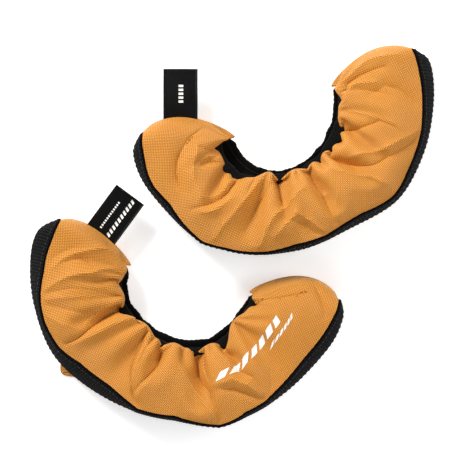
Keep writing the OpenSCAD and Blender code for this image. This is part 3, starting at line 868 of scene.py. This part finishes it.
def flex(piece, side, end):
    """Finds the flex line's centre and the direction from it towards the heel or toe tip, then bakes the
    piece's transform into its mesh; the piece is not bent.
    """
    plan = Plan(side, [FLEX_AT[side][ENDS.index(end)]])
    centre = plan.place(plan.depth * 0, plan.depth * 0 + SEAM_Z)[0]
    along = np.array([-plan.inward[0, 1], plan.inward[0, 0], 0.0])
    tip = Plan(side, [0 if end == "heel" else LAST])
    toward = tip.place(tip.depth * 0, tip.depth * 0)[0] - centre
    along *= FLEX_REACH * math.copysign(1, along @ toward)
    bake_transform(piece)


def install(piece, side, end, slot, *kinds):
    """Puts the piece in place of its kinds of CAD node, at this end and in the mid body, and bakes its
    transform. slot is not used.
    """
    for kind in kinds:
        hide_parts(f"{side}_{kind}_{end}", f"{side}_{kind}_mid")
    flex(piece, side, end)


# ---------------------------------------------------------------- the sewn pieces
def side_panels(side, face, panel, looks):
    """The orange cloth of one face, in a heel half and a toe half that share their cut edge."""
    normal = normals(panel["cloth"]) * panel["sign"]
    raised = np.sin(np.pi * np.clip(np.linspace(0, 1, FINE_ROWS), 0.02, 0.5))
    raised = np.concatenate([raised, np.ones(2 * len(HEM))])
    outer = panel["cloth"] + normal * CLOTH_OUT * raised[None, :, None]
    outer[[0, -1]] = panel["cloth"][[0, -1]]
    outer[..., 2] = np.maximum(outer[..., 2], UNDERSIDE)
    panel["outer"] = outer
    for end in ENDS:
        cut, sheet, up = (half(grid, end) for grid in (panel["cut"], outer, normal))
        shading = np.concatenate([up.reshape(-1, 3), -up.reshape(-1, 3)])
        piece = closed_piece(f"{side}_{face}_panel_{end}", [(sheet, sheet - up * CLOTH_T, cut)],
                             looks["cloth"], shading)
        install(piece, side, end, "orange_cloth", f"shell_{face}")


LINING_IN, LINING_T = 1.4, 1.0       # how deep the lining lies inside the pouch, and its thickness
LINING_FROM, LINING_STEP = 16, 4     # fine columns left out at each tip, and fine points to one of its own


def web_rows(side, xs, ws, out):
    """The webbing's surface as [column][row], moved out of the pouch by out."""
    plan = Plan(side, xs)
    rows = []
    for w in ws:
        d, z = plan.web(w)
        ahead, behind = plan.web(w + 0.01), plan.web(w - 0.01)
        td, tz = ahead[0] - behind[0], ahead[1] - behind[1]
        size = np.maximum(np.hypot(td, tz), 1e-6)
        rows.append(plan.place(d - out * tz / size, z + out * td / size))
    return np.stack(rows, 1)


def lining(side, front, back, looks):
    """The black terry inside: down the front panel, across the sole and up the back panel."""
    skip = slice(LINING_FROM, len(FINE_XS) - LINING_FROM, LINING_STEP)

    def inside(panel, depth):
        """The panel's smooth surface moved in by depth, and by more where a fold dips."""
        out = normals(panel["smooth"]) * panel["sign"]
        low = np.minimum(0, ((panel["cloth"][:, :FINE_ROWS] - panel["smooth"]) * out).sum(axis=2))
        for shift, axis in ((-2, 0), (2, 0), (-2, 1), (2, 1)):
            low = np.minimum(low, np.roll(low, shift, axis))
        return (panel["smooth"] + (low - depth)[..., None] * out)[skip, ::LINING_STEP]

    xs = FINE_XS[skip]
    middle = len(xs) // 2
    layers = []
    for depth in (LINING_IN, LINING_IN + LINING_T):
        sole = web_rows(side, xs, np.linspace(0.9, 0.1, 9), -depth)
        layers.append(np.concatenate([inside(front, depth)[:, :0:-1], sole, inside(back, depth)[:, 1:]], 1))
    outer, inner = layers
    across = run_along(outer[middle])
    cut = laid_out(run_along(outer[:, len(across) // 2]), across)
    for end, part in zip(ENDS, (slice(0, middle + 1), slice(middle, None))):
        piece = closed_piece(f"{side}_terry_lining_{end}", [(outer[part], inner[part], cut[part])],
                             looks["terry"])
        install(piece, side, end, "black_terry", "lining")


RIB_RISE, WEB_POINTS = 0.08, 5       # height of the webbing's cross ribs, and columns to a rib
CORD, CORD_RISE = 2.1, 0.05          # pitch and height of its lengthwise cords
WEB_EDGE, EDGE_SUNK = 0.05, 0.5      # share of its width that an edge takes, and how far the edge sinks
RELIEF_FADE = 0.15       # stations from a tip over which this relief grows
WEB_IN = 0.1             # how far its inner face lies outside the pouch's line


def even_stations(side, pitch, start, stop):
    """Stations an even distance apart along the sole, and the length between the first and last."""
    fine = np.linspace(start, stop, 600)
    plan = Plan(side, fine)
    run = run_along(plan.place(plan.depth * 0, plan.depth * 0))
    count = max(2, round(run[-1] / pitch))
    return np.interp(np.linspace(0, run[-1], count + 1), run, fine), run[-1]


def halves(side, pitch, first, last):
    """For the heel half and the toe half: the end's name, and its even stations and length."""
    for end, start, stop in zip(ENDS, (first, LAST / 2), (LAST / 2, last)):
        yield (end,) + even_stations(side, pitch, start, stop)


def webbing(side, looks):
    """The sole's webbing, with its cross ribs and bound edges as real relief."""
    ws = np.concatenate([[0, 0.012], np.linspace(0.04, 0.96, 21), [0.988, 1]])
    for end, xs, length in halves(side, RIB / WEB_POINTS, 0, LAST):
        along = np.linspace(0, length, len(xs))
        inner, base, outer = (web_rows(side, xs, ws, far) for far in (WEB_IN, 0, WEB_T))
        out = unit(outer - base)
        rib = np.abs(np.sin(np.pi * along / RIB))[:, None]
        cord = np.abs(np.sin(np.pi * ws * WEB_W / CORD))[None, :]
        relief = RIB_RISE * (rib - 0.5) * 2 + CORD_RISE * cord
        edge = np.minimum(1, np.minimum(ws, 1 - ws) / WEB_EDGE)[None, :]
        fade = np.minimum(1, to_tip(xs) / RELIEF_FADE)[:, None]
        outer = outer + out * ((relief * edge - EDGE_SUNK * (1 - edge)) * fade)[..., None]
        cut = laid_out(along, ws * WEB_W)
        piece = closed_piece(f"{side}_webbing_{end}", [(outer, inner, cut)], looks["web"])
        install(piece, side, end, "black_webbing", "sole_web")


PAD_T, PAD_GAP, PAD_STEP = 3.0, 0.3, 2.5     # thickness, gap under the lining, and distance between columns
PAD_FROM, QUILT = 0.7, 14.0          # stations left out at each tip, and distance between quilting lines


def sole_pad(side, looks):
    """The absorbent pad above the webbing, under the lining: a crowned and quilted strip."""
    ws = np.linspace(0.17, 0.83, 15)
    crown = np.sin(np.pi * np.clip((ws - 0.15) / 0.7, 0.02, 0.98)) ** 0.35
    base = LINING_IN + LINING_T + PAD_GAP
    for end, xs, length in halves(side, PAD_STEP, PAD_FROM, LAST - PAD_FROM):
        along = np.linspace(0, length, len(xs))
        tip = along if end == "heel" else along[::-1]
        taper = np.minimum(1, tip / 6 + 0.15) ** 0.5
        quilt = 1 - 0.12 * np.abs(np.cos(np.pi * along / QUILT)) ** 8
        outer = web_rows(side, xs, ws, -base)
        down = web_rows(side, xs, ws, -base - 1) - outer
        inner = outer + down * (PAD_T * crown[None, :] * (taper * quilt)[:, None])[..., None]
        piece = closed_piece(f"{side}_absorbent_pad_{end}", [(outer, inner, laid_out(along, ws * WEB_W))],
                             looks["pad"])
        install(piece, side, end, "absorbent_pad", "sole_pad")


GATHER_PITCH = 3.4       # from one small gather of the binding to the next
BINDING_SIDES, BINDING_STEP = 16, 1.2        # points round the binding, and distance between its columns
BINDING_SLACK = 1.6      # the binding's cut length to its gathered length
WRINKLE, LUMP = 0.12, 1.0            # heights of its gathers and of its larger lumps
BACK_LEAST, BACK_MOST = 1.2, 5.5     # least and most that it reaches out under the cloth


def binding(side, face, looks):
    """The gathered binding that holds the elastic: a flattened tube round one mouth edge."""
    front = face == "front"
    first, last = COLLAR_END + 0.05, LAST - COLLAR_END - 0.05
    for end, xs, _ in halves(side, BINDING_STEP, first, last):
        plan = Plan(side, xs)
        section = plan.front if front else plan.back
        edge, below = (np.stack(section(v), 1) for v in (1, 5 / 6))
        past = unit(edge - below)
        up = left_of(past)
        full = np.minimum(1, np.minimum(xs - first, last - xs) / 0.5 + 0.25)
        lean = np.interp(xs, XS, edge_lean(side, face)) - (plan.mouth_lean if front else 0)
        back_by = np.clip(lean + UNDER, BACK_LEAST, BACK_MOST)
        half_w = (COLLAR_W + back_by) / 2
        centre = edge + past * ((COLLAR_W - back_by) / 2 * full)[:, None]
        line = plan.place(*centre.T)
        run = run_along(line)
        phase = 2 * np.pi * run / GATHER_PITCH + np.array([2.5 * noise.noise(Vector(p) * 0.12) for p in line])
        lump = np.array([noise.noise(Vector(p) * 0.16 + Vector((7, 0, 0))) for p in line])
        rows = []
        for k in range(BINDING_SIDES):
            a = 2 * np.pi * k / BINDING_SIDES
            c, s = math.cos(a), math.sin(a)
            bump = WRINKLE * np.sin(phase + 0.8 * s) + LUMP * lump
            wide = half_w * math.copysign(abs(c) ** 0.6, c) + bump * 0.9 * c
            high = COLLAR_T / 2 * math.copysign(abs(s) ** 0.7, s) + bump * 0.7 * s
            point = centre + past * (wide * full)[:, None] + up * (high * full)[:, None]
            rows.append(plan.place(*point.T))
        ring = np.stack(rows, 1)
        around = np.linspace(0, 2 * (2 * half_w.mean() + COLLAR_T), BINDING_SIDES)
        cut = laid_out(run * BINDING_SLACK, around)
        points = np.concatenate([ring.reshape(-1, 3), ring[[0, -1]].mean(axis=1)])
        flip = tube_is_inside_out(ring)
        faces = grid_faces(len(xs), BINDING_SIDES, 0, flip, wrap=True)
        far = (len(xs) - 1) * BINDING_SIDES
        for k in range(BINDING_SIDES):
            n = (k + 1) % BINDING_SIDES
            for cap in ([k, n, len(points) - 2], [far + n, far + k, len(points) - 1]):
                faces.append(cap[::-1] if flip else cap)
        flat = np.concatenate([cut.reshape(-1, 2), cut[0, :1], cut[-1, :1]])
        piece = new_piece(f"{side}_{face}_binding_{end}", points, faces, looks["binding"], flat)
        install(piece, side, end, "black_binding", "collar", "elastic")


def tube_is_inside_out(ring):
    """True where the tube's quads would face inward, for rings of points: [column][side]."""
    out = ring[0] - ring[0].mean(axis=0)
    face = np.cross(ring[1, 0] - ring[0, 0], ring[0, 1] - ring[0, 0])
    return bool(face @ out[0] < 0)


STITCH, STITCH_LONG, THREAD_R = 3.2, 2.1, 0.28       # pitch, length and thread radius
STITCH_FROM, STITCH_ROWS = 0.35, (0.1, 0.9)          # stations left out at each tip, and the rows' w
STITCH_OUT = 0.12        # how far the stitches' middles lie off the webbing


def stitch_row(points, dirs, ups, long, radius):
    """Capsule stitches at points, each sunk a little at its ends: vertices and faces."""
    sides, rings = 6, 5              # points round a stitch, and rings along it
    verts, faces = [], []
    for p, d, u in zip(points, dirs, ups):
        d = unit(d)
        w = unit(np.cross(u, d))
        u = np.cross(d, w)
        first = len(verts)
        for i in range(rings):
            t = i / (rings - 1) * 2 - 1
            r = radius * math.sqrt(max(0.06, 1 - t ** 4))
            sink = -0.5 * radius * t * t
            for k in range(sides):
                a = 2 * math.pi * k / sides
                verts.append(p + d * (t * long / 2) + u * (sink + r * math.sin(a)) + w * (r * math.cos(a)))
        faces += grid_faces(rings, sides, first, False, wrap=True)
        faces += [list(range(first, first + sides)),
                  list(range(first + (rings - 1) * sides, first + rings * sides))[::-1]]
    return np.array(verts), faces


def sole_stitches(side, looks):
    """The two rows of stitches along the webbing's edges."""
    for end, xs, _ in halves(side, STITCH, STITCH_FROM, LAST - STITCH_FROM):
        xs = (xs[1:] + xs[:-1]) / 2
        rows = []
        for w in STITCH_ROWS:
            top, under = (web_rows(side, xs, [w], out)[:, 0] for out in (WEB_T + STITCH_OUT, WEB_T - 1))
            rows.append((top, np.gradient(top, axis=0), top - under))
        verts, faces = stitch_row(*(np.concatenate(part) for part in zip(*rows)), STITCH_LONG, THREAD_R)
        piece = new_piece(f"{side}_sole_stitches_{end}", verts, faces, looks["thread"], verts[:, :2])
        install(piece, side, end, "black_thread", "sole_stitch")


TOPSTITCH, TOPSTITCH_LONG, TOPSTITCH_R = 2.6, 1.6, 0.3       # pitch, length and thread radius
TOPSTITCH_IN = 1.2       # distance of the stitches from the seam's groove


def topstitches(side, front, looks):
    """The row of orange stitches beside the front panel's seam."""
    outer = front["outer"][:, :FINE_ROWS]

    def nearest(points):
        """The number of the cloth's point that is nearest to each point."""
        far = np.linalg.norm(outer[None] - points[:, None, None], axis=3)
        return far.reshape(len(points), -1).argmin(axis=1)

    line = fold_line(outer, SEAM_LINES[side], 40)
    run = run_along(line)
    count = round(run[-1] / TOPSTITCH)
    at = (np.arange(count) + 0.5) * run[-1] / count
    points = np.stack([np.interp(at, run, line[:, k]) for k in range(3)], 1)
    dirs = np.gradient(points, axis=0)
    ups = (normals(outer) * front["sign"]).reshape(-1, 3)[nearest(points)]
    points += TOPSTITCH_IN * unit(np.cross(ups, dirs))
    gap = ((outer.reshape(-1, 3)[nearest(points)] - points) * ups).sum(axis=1, keepdims=True)
    verts, faces = stitch_row(points + ups * (gap + 0.1), dirs, ups, TOPSTITCH_LONG, TOPSTITCH_R)
    end = "toe" if side == "left" else "heel"
    piece = new_piece(f"{side}_{end}_topstitches", verts, faces, looks["seam"], verts[:, :2])
    install(piece, side, end, "orange_cloth")


# ---------------------------------------------------------------- the labels
def label_frame(side):
    """The label's root, and its directions out of the seam and across."""
    plan = Plan(side, [0.0])
    root = plan.place(LABEL_AT[SIDES.index(side)] * plan.reach, plan.reach * 0 + SEAM_Z)[0]
    ray = Plan.tip_ray(side, 0)
    angle = math.atan2(ray[0], -ray[1]) + math.radians(LABEL_TURN[SIDES.index(side)])
    out = np.array([math.cos(angle), math.sin(angle), 0])
    return root, out, np.array([-out[1], out[0], 0])


SUNK = 1.2               # how far the ribbon's loop runs in under the seam
LABEL_STEPS, LABEL_WIDE = 48, 13     # points along one layer of the ribbon, and across it
FOLD_GAPS = (0.97, 0.85, 0.62, 0.25)         # the layers' gap at the fold's last points, as shares


def label(side, looks):
    """The ribbon loop: two layers that part towards a soft fold, with a slight twist and bow."""
    root, out, across = label_frame(side)
    t = np.linspace(0, 1, LABEL_STEPS)
    gap = LABEL_GAP / 2 * np.sin(np.pi * t) ** 1.5 * (1 - t / 2) + 0.12
    gap[-4:] = gap[-5] * np.array(FOLD_GAPS)
    upper = np.stack([t * (LABEL_LEN - 0.4), gap], 1)
    line = np.concatenate([upper, upper[::-1] * [1, -1]])
    line[LABEL_STEPS - 1:LABEL_STEPS + 1, 0] += 0.25
    normal = unit(left_of(np.gradient(line, axis=0)))
    run = run_along(line)
    s = np.linspace(-0.5, 0.5, LABEL_WIDE)

    def layer(lift):
        """The ribbon's surface, lifted off its middle."""
        at = line + normal * lift
        along = (at[:, 0] * (1 + SUNK / LABEL_LEN) - SUNK)[:, None] + 0 * s
        bow = 0.5 * np.sin(np.pi * t * 0.9)
        bow = np.concatenate([bow, bow[::-1]])[:, None] * (1 - (2 * s) ** 2) * 0.8
        ripple = 0.12 * np.sin(run[:, None] / 4.1 + 3 * s) * np.minimum(1, line[:, :1] / 8)
        height = at[:, 1:2] + bow + ripple
        return (root + along[..., None] * out + (s * LABEL_W)[None, :, None] * across
                + height[..., None] * np.array([0, 0, 1]))

    outer, inner = layer(LABEL_T * 0.5), layer(-LABEL_T * 0.25)
    cut = laid_out(run, s * LABEL_W)
    piece = closed_piece(f"{side}_label", [(outer, inner, cut)], looks["ribbon"])
    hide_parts(f"{side}_label_loop")
    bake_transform(piece)
    return outer[:LABEL_STEPS], cut[:LABEL_STEPS]


# Rows of plain bars on a label, in place of its wording: [first, last] along it and [first, last] across, as
# shares, then the count of bars and how far they slant.
LABEL_BARS = {"left": [(0.06, 0.96, 0.26, 0.38, 10, 0.03), (0.12, 0.78, 0.60, 0.66, 12, 0.0)],
              "right": [(0.33, 0.72, 0.42, 0.56, 5, 0.0)]}
BAR_FILL = 0.6           # share of the bars' pitch that a bar fills
BAR_LIFT, BAR_T = 0.02, 0.05         # the bars' gap to the ribbon, and their thickness
BAR_GRID = (4, 4)        # points along and across a bar


def patch(grid, cut, box, lift, thick, size, slant):
    """A thin closed patch on part of a grid of points, with its box and slant as shares of the grid."""
    (a0, a1), (b0, b1) = box
    at = [((a + slant * (b - b0) / (b1 - b0)) * (len(grid) - 1), b * (grid.shape[1] - 1))
          for a in np.linspace(a0, a1, size[0]) for b in np.linspace(b0, b1, size[1])]
    sheet, flat = (np.reshape([between_points(g, i, j) for i, j in at], size + (-1,)) for g in (grid, cut))
    up = normals(sheet)
    up *= math.copysign(1, up[..., 2].sum())
    return sheet + up * (lift + thick), sheet + up * lift, flat


def label_bars(side, top, cut, looks):
    """The plain bars on the label's upper layer."""
    bars = []
    for a0, a1, b0, b1, count, slant in LABEL_BARS[side]:
        pitch = (a1 - a0) / count
        for k in range(count):
            a = a0 + pitch * k
            box = (a, a + pitch * BAR_FILL), (b0, b1)
            bars.append(patch(top, cut, box, BAR_LIFT, BAR_T, BAR_GRID, slant))
    piece = closed_piece(f"{side}_label_bars", bars, looks["print"])
    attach(piece, f"{side}_label")


def label_tab(side, looks):
    """The ribbon's two ends inside the seam."""
    root, out, across = label_frame(side)
    t, s = np.linspace(-4.0, -LABEL_ROOT, 6), np.linspace(-0.5, 0.5, 9)
    base = root + t[:, None, None] * out + (s * LABEL_W)[None, :, None] * across
    ridge = 0.06 * np.cos(s * 40)[None, :, None] * np.array([0, 0, 1])
    up = np.array([0, 0, LABEL_T * 0.9])
    sheet = base + up + ridge, base - up + ridge, laid_out(t, s * LABEL_W)
    piece = closed_piece(f"{side}_label_root", [sheet], looks["ribbon"])
    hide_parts(f"{side}_label_tab")
    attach(piece, f"{side}_heel")


# ---------------------------------------------------------------- the printed mark
MARK_SLANT, MARK_FILL = 0.16, 0.7    # a bar's slant in stations, and the share of the pitch that it fills
MARK_LIFT, MARK_T = 0.03, 0.08       # the print's gap to the cloth, and its thickness
MARK_GRID = (9, 11)      # points along and across a bar
# Rows of bars: first and last station, v of the first and last bar, height in v, count.
MARK_ROWS = ((6.95, 9.2, 0.565, 0.545, 0.09, 7), (8.4, 9.4, 0.44, 0.44, 0.035, 6))


def printed_mark(front, looks):
    """Two rows of plain slanted bars that lie on the toe's cloth."""
    bars = []
    column = np.linspace(0, 1, COLUMNS)
    for first, last, v_first, v_last, high, count in MARK_ROWS:
        pitch = (last - first) / count
        for k in range(count):
            a = first + pitch * k
            v = v_first + (v_last - v_first) * k / (count - 1)
            i0, i1, slanted = np.interp([a, a + pitch * MARK_FILL, a + MARK_SLANT], XS, column)
            bars.append(patch(front["outer"][:, :FINE_ROWS], front["cut"][:, :FINE_ROWS],
                              ((i0, i1), (v, v + high)), MARK_LIFT, MARK_T, MARK_GRID, slanted - i0))
    piece = closed_piece("left_print_mark", bars, looks["print"])
    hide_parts("left_print")
    flex(piece, "left", "toe")


def build_guard(side, looks):
    """All the pieces of one guard."""
    panels = {face: sewn_panel(side, face) for face in ("front", "back")}
    for face, panel in panels.items():
        side_panels(side, face, panel, looks)
        binding(side, face, looks)
    lining(side, panels["front"], panels["back"], looks)
    webbing(side, looks)
    sole_pad(side, looks)
    sole_stitches(side, looks)
    topstitches(side, panels["front"], looks)
    label_bars(side, *label(side, looks), looks)
    label_tab(side, looks)
    return panels


build_stage()
LOOKS = build_materials()
for guard in SIDES:
    made = build_guard(guard, LOOKS)
    if guard == "left":
        printed_mark(made["front"], LOOKS)
